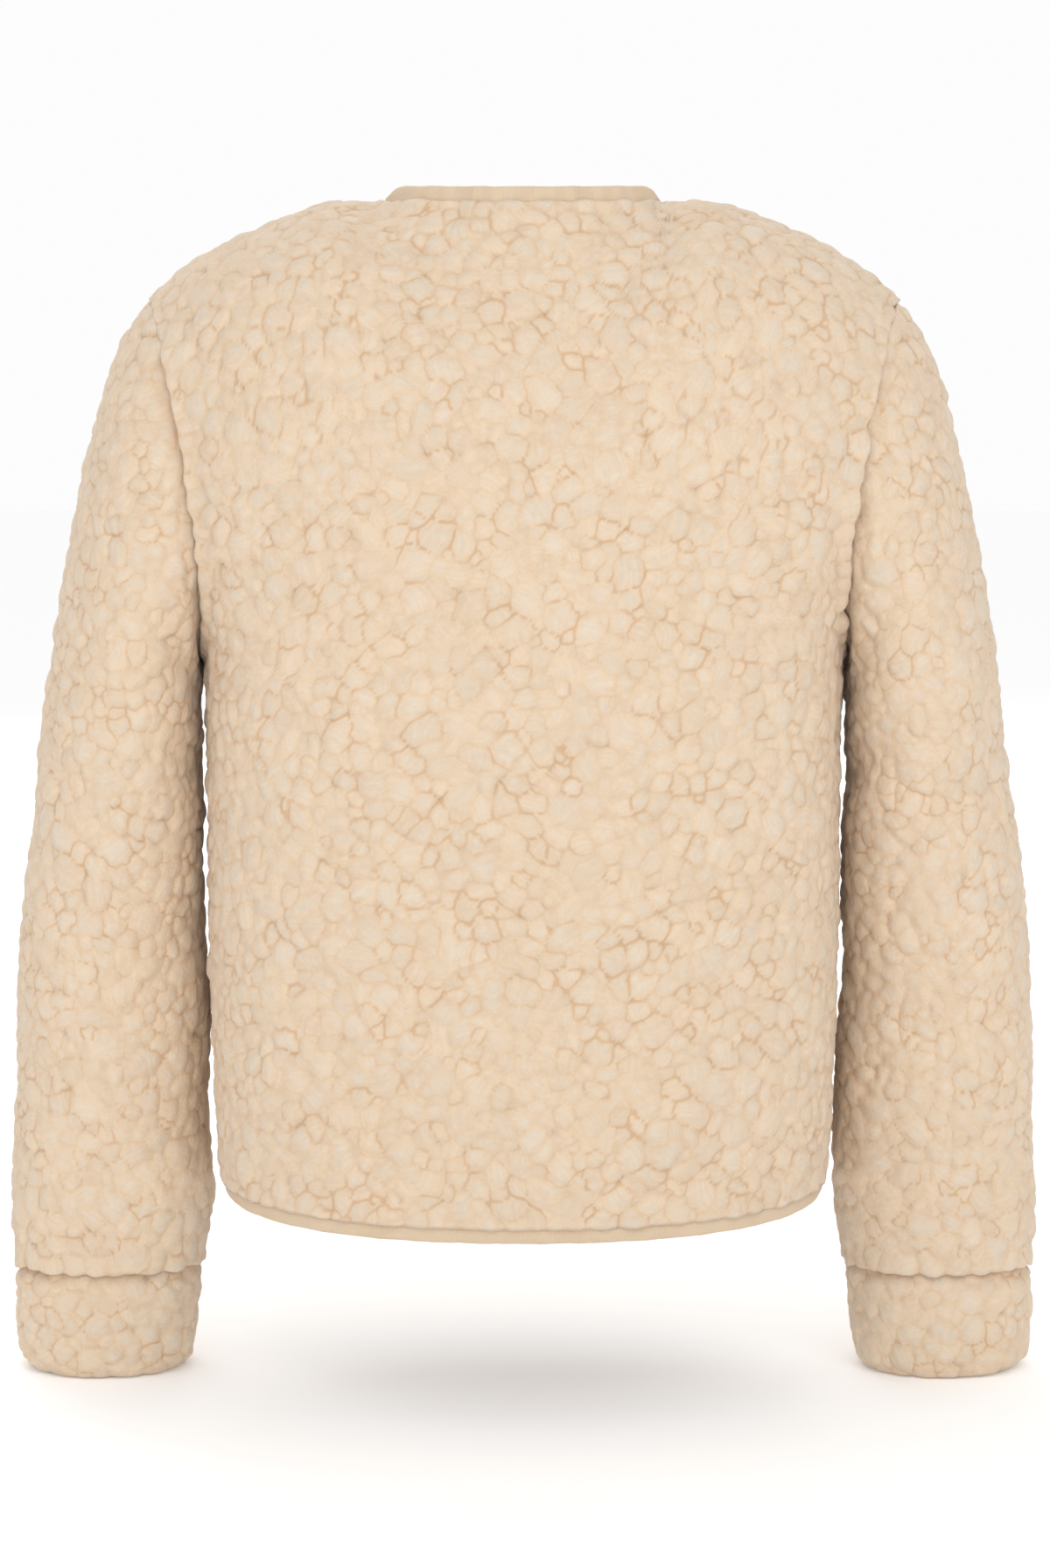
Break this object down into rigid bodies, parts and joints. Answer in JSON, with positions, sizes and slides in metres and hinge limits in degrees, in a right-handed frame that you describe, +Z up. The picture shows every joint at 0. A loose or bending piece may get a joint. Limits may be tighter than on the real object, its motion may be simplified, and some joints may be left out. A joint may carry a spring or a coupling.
{
  "type": "sherpa jacket",
  "caption": "Short collarless sherpa jacket with long dropped sleeves, deep cuffs, tape-bound neck, front and hem, and a press-stud front, filled out as if worn.",
  "frame": {"origin": "midway between the two shoulder points of the neck, at the height of the shoulders, where the wearer holds the jacket up", "axes": "+Z up, -Y out of the chest (the front), +X towards the wearer's left sleeve"},
  "size_m": [0.6032, 0.251, 0.6861],
  "materials": {
    "sherpa": "matt curled pile, cream",
    "woven_tape": "matt plain weave, cream",
    "press_stud": "satin"
  },
  "bodies": {
    "root": {"back_panel": "sherpa", "front_panel_left": "sherpa", "front_panel_right": "sherpa", "sleeve_left": "sherpa", "sleeve_right": "sherpa", "cuff_left": "sherpa", "cuff_right": "sherpa", "neck_binding": "woven_tape", "hem_binding": "woven_tape", "front_binding_left": "woven_tape", "front_binding_right": "woven_tape", "press_stud_1": "press_stud", "press_stud_2": "press_stud", "press_stud_3": "press_stud", "press_stud_4": "press_stud", "press_stud_5": "press_stud"}
  },
  "joints": []
}
